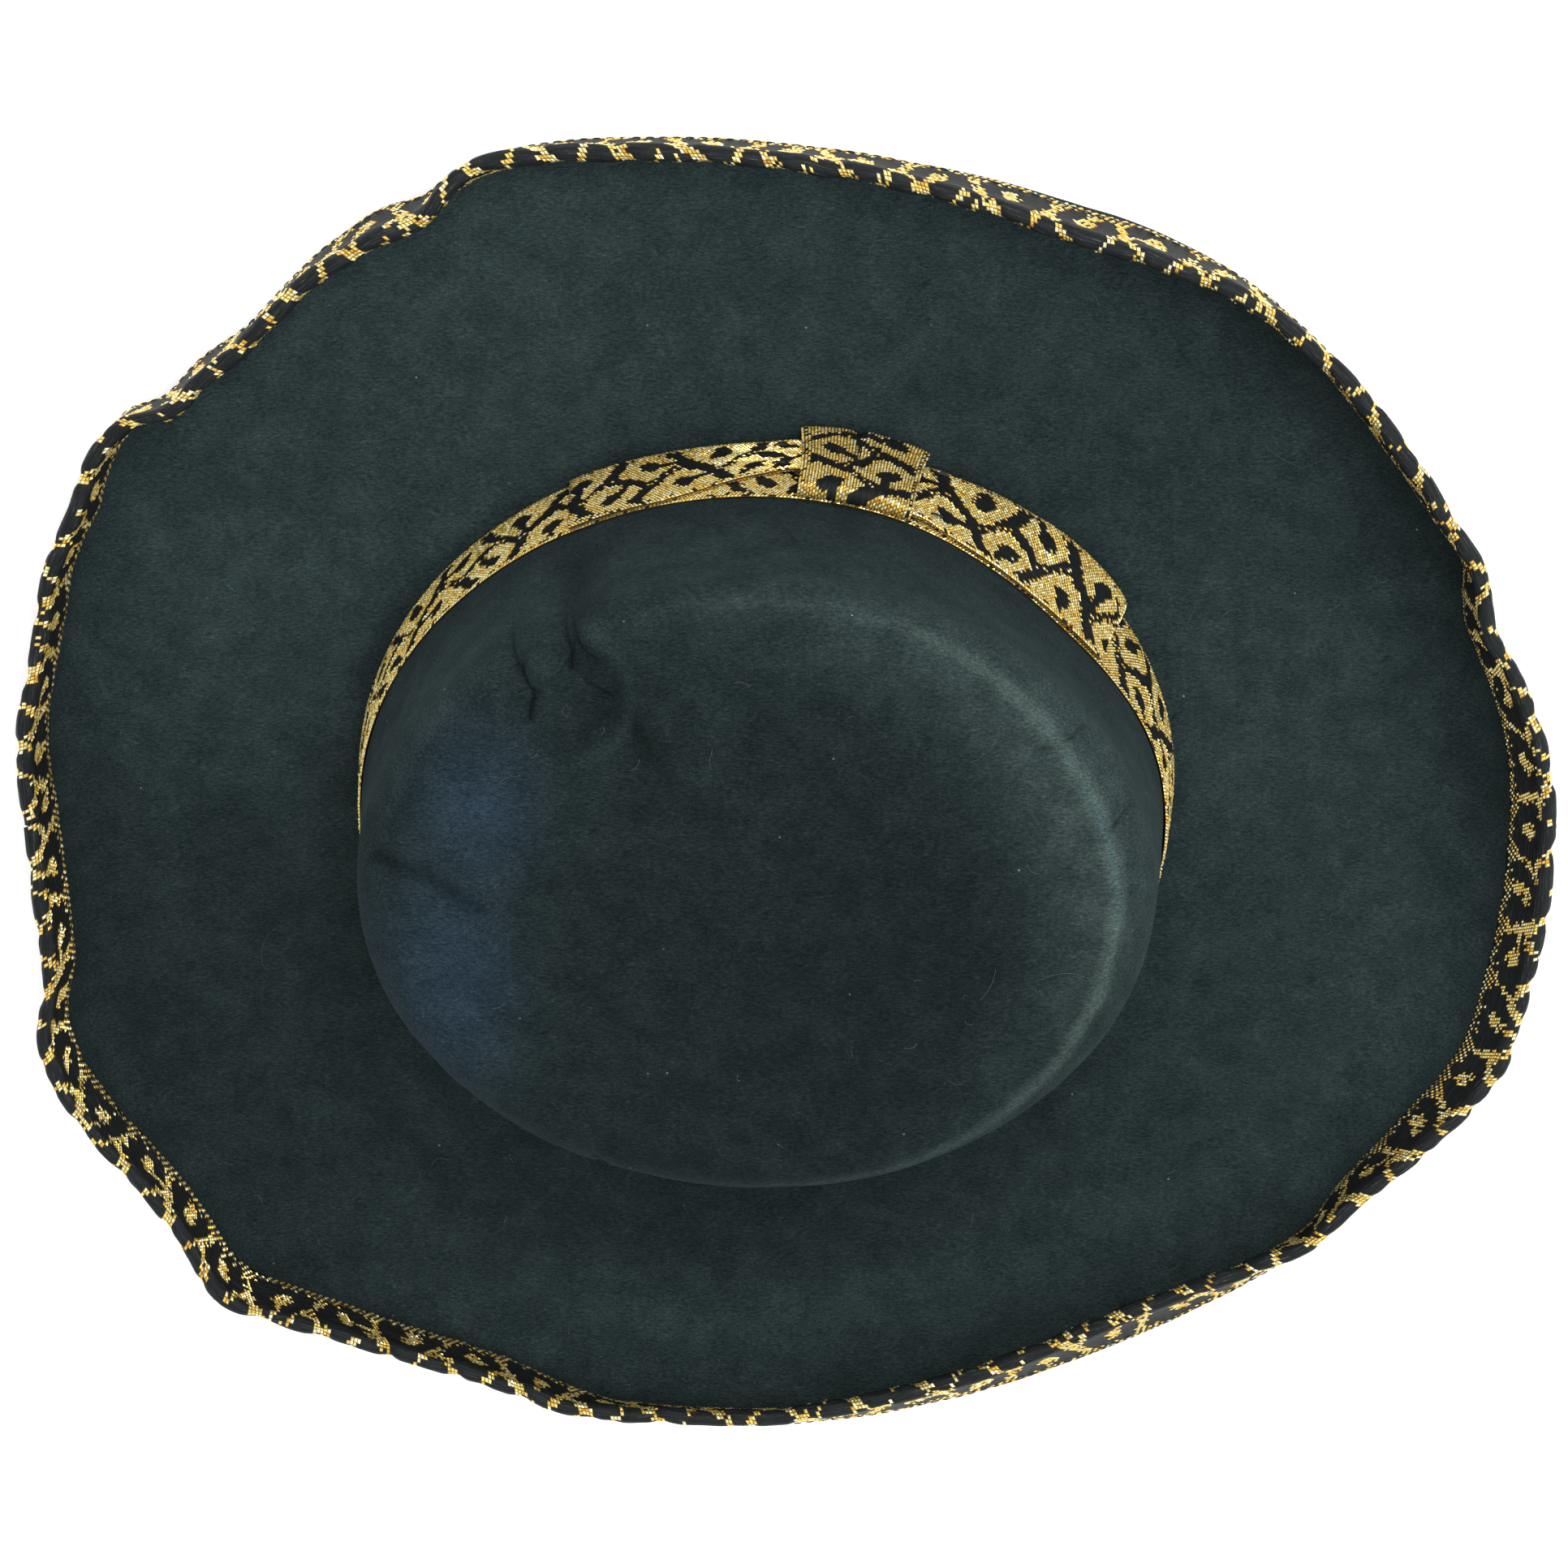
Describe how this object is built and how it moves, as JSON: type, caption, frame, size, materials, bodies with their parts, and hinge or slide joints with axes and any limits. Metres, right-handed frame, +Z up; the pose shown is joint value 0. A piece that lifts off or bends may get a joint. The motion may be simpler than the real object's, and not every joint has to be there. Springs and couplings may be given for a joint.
{
  "type": "wide-brimmed felt hat",
  "caption": "Black wool felt hat with a flat-topped round crown, a rolled wired brim bound in gold jacquard ribbon, and a ribbon band with a flat bow.",
  "frame": {"origin": "bottom centre of the whole hat's box; the flat underside of the brim lies at z = 0", "axes": "+X to the front of the hat, +Y to the side with the bow, +Z up through the crown"},
  "size_m": [0.3846, 0.3452, 0.101],
  "materials": {
    "felt": "matte pressed wool felt",
    "ribbon": "woven black satin and metallic gold yarn",
    "wire": "drawn spring wire",
    "joiner": "crimped sleeve",
    "sweatband": "ribbed black ribbon",
    "thread": "spun black thread"
  },
  "bodies": {
    "root": {"felt_body": "felt", "brim_binding": "ribbon", "brim_wire": "wire", "wire_joiner": "joiner", "binding_needle_thread": "thread", "binding_bobbin_thread": "thread", "hat_band": "ribbon", "bow_loops": "ribbon", "bow_knot": "ribbon", "sweatband": "sweatband", "sweatband_tape": "sweatband", "sweatband_thread": "thread", "band_tack_1": "thread", "band_tack_2": "thread", "band_tack_3": "thread", "band_tack_4": "thread", "bow_tack_1": "thread", "bow_tack_2": "thread", "bow_tack_3": "thread", "bow_tack_4": "thread"}
  },
  "joints": []
}
